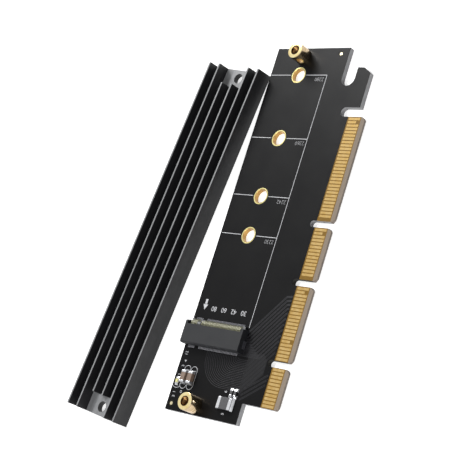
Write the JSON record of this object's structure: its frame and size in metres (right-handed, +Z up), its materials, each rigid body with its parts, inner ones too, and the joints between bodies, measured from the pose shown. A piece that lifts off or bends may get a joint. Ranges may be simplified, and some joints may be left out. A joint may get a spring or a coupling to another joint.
{
  "type": "nvme adapter card",
  "caption": "Flat black expansion card with a stepped gold edge connector, retention hook, module socket, plated fixing holes and brass spacers, with its finned heat sink lying beside it.",
  "frame": {"origin": "middle of the box round card and heat sink, on the surface they lie on", "axes": "+X across the card towards its contact edge, +Y along it towards the retention hook, +Z up from the component side"},
  "size_m": [0.0748, 0.1192, 0.0062],
  "materials": {
    "solder_mask": "satin black solder mask over glass-epoxy laminate",
    "gold_plating": "gold-plated copper, satin",
    "brass": "turned brass, bright",
    "socket_plastic": "moulded charcoal plastic, satin",
    "contact_gold": "gold-flashed spring copper",
    "tin": "tinned and soldered",
    "ceramic_brown": "fired ceramic, satin",
    "ceramic_black": "moulded, matt",
    "led_white": "white laminate",
    "led_yellow": "clear yellow lens",
    "anodised_black": "black anodised aluminium, satin"
  },
  "bodies": {
    "root": {"pcb": "solder_mask", "edge_fingers_front": "gold_plating", "edge_fingers_back": "gold_plating", "m2_hole_ring_30": "gold_plating", "m2_hole_ring_42": "gold_plating", "m2_hole_ring_60": "gold_plating", "m2_hole_ring_80": "gold_plating", "spacer_bracket_end": "brass", "spacer_hook_end": "brass", "fiducial_dots": "gold_plating", "m2_housing": "socket_plastic", "m2_upper_contacts": "contact_gold", "m2_lower_contacts": "contact_gold", "m2_hold_downs": "tin", "capacitor_outer": "ceramic_brown", "capacitor_outer_ends": "tin", "capacitor_inner": "ceramic_brown", "capacitor_inner_ends": "tin", "fuse": "ceramic_black", "fuse_ends": "tin", "resistor_left": "ceramic_black", "resistor_left_ends": "tin", "resistor_right": "ceramic_black", "resistor_right_ends": "tin", "led_base": "led_white", "led_base_ends": "tin", "led_lens": "led_yellow", "heat_sink_base": "anodised_black", "heat_sink_fins": "anodised_black"}
  },
  "joints": []
}
